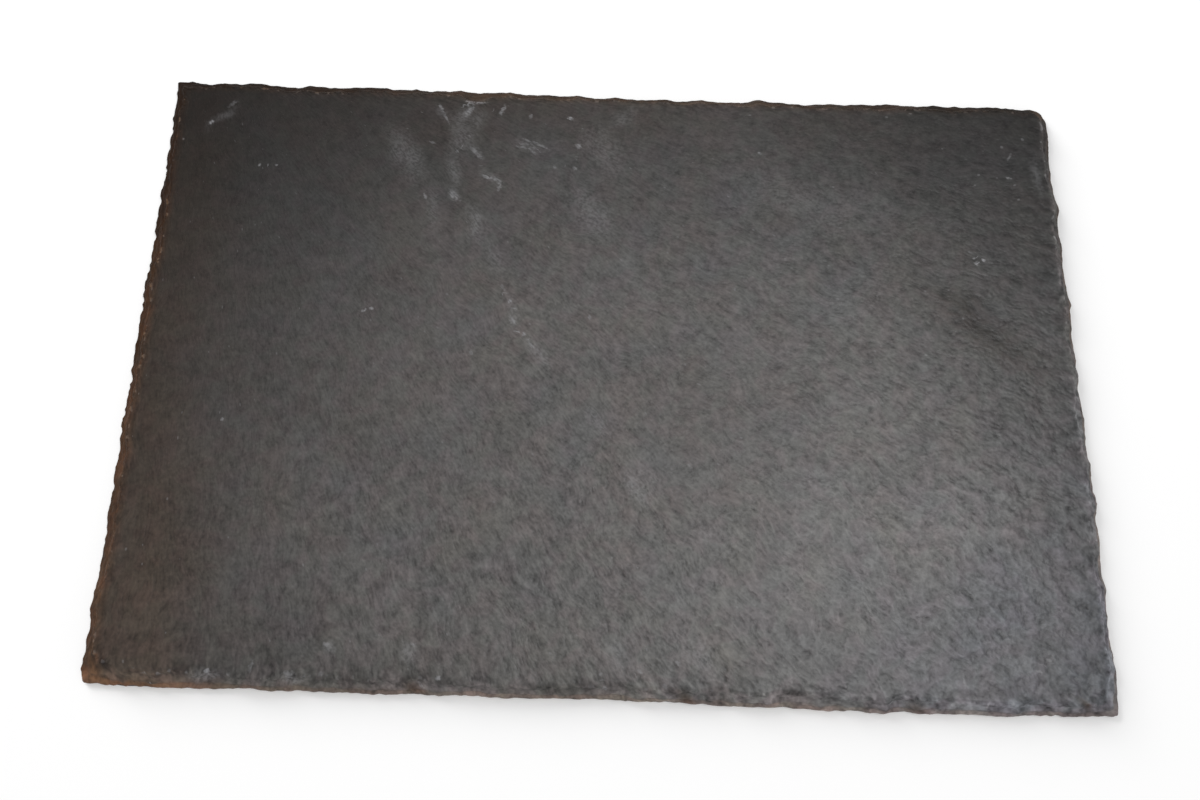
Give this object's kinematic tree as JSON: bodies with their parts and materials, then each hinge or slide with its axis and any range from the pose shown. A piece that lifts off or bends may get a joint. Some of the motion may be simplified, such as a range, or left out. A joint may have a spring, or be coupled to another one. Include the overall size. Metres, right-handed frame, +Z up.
{
  "type": "slate slab",
  "caption": "Thin rectangular slate slab with a riven upper face and hand-chipped, stepped edges, for serving, display or as a base.",
  "frame": {"origin": "under the middle of the slab, on the plane that its underside rests on", "axes": "+X along the length, towards the knocked-off corner's end; +Y across the width, towards the back edge; +Z up, out of the riven face"},
  "size_m": [0.3, 0.2, 0.005],
  "materials": {
    "slate": "riven, unpolished, dull sheen"
  },
  "bodies": {
    "root": {"slab": "slate"}
  },
  "joints": []
}
